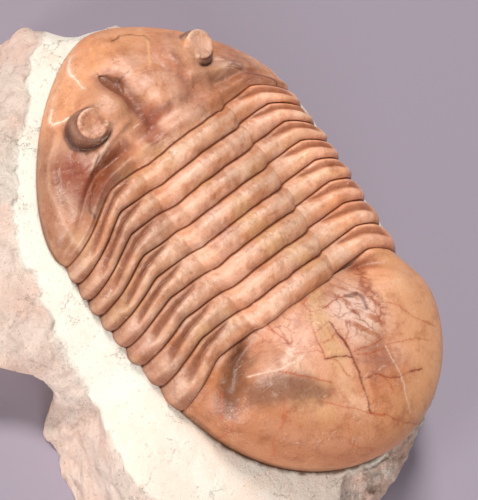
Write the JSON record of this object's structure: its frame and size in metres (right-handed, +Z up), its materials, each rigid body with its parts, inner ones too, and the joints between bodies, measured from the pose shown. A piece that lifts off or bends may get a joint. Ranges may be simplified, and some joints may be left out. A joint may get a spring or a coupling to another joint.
{
  "type": "asaphus trilobite fossil",
  "caption": "Asaphus trilobite fossil with stalked eyes, head shield, jointed body segments and tail shield, lying on a loose rough piece of limestone.",
  "frame": {"origin": "centre of the whole object's bounding box in X and Y, at the flat base of the stone", "axes": "+Y along the body towards the head, +X to the animal's right side, +Z up out of its back"},
  "size_m": [0.0676, 0.0916, 0.0287],
  "materials": {
    "limestone": "rough broken limestone, cream where it was scraped clean beside the animal and pinkish elsewhere",
    "shell": "caramel-brown calcite shell with a soft satin sheen, fine cracks and thin pale and red-brown veins"
  },
  "bodies": {
    "root": {"matrix": "limestone", "cephalon": "shell", "thorax_segment_1": "shell", "thorax_segment_2": "shell", "thorax_segment_3": "shell", "thorax_segment_4": "shell", "thorax_segment_5": "shell", "thorax_segment_6": "shell", "thorax_segment_7": "shell", "thorax_segment_8": "shell", "pygidium": "shell"}
  },
  "joints": []
}
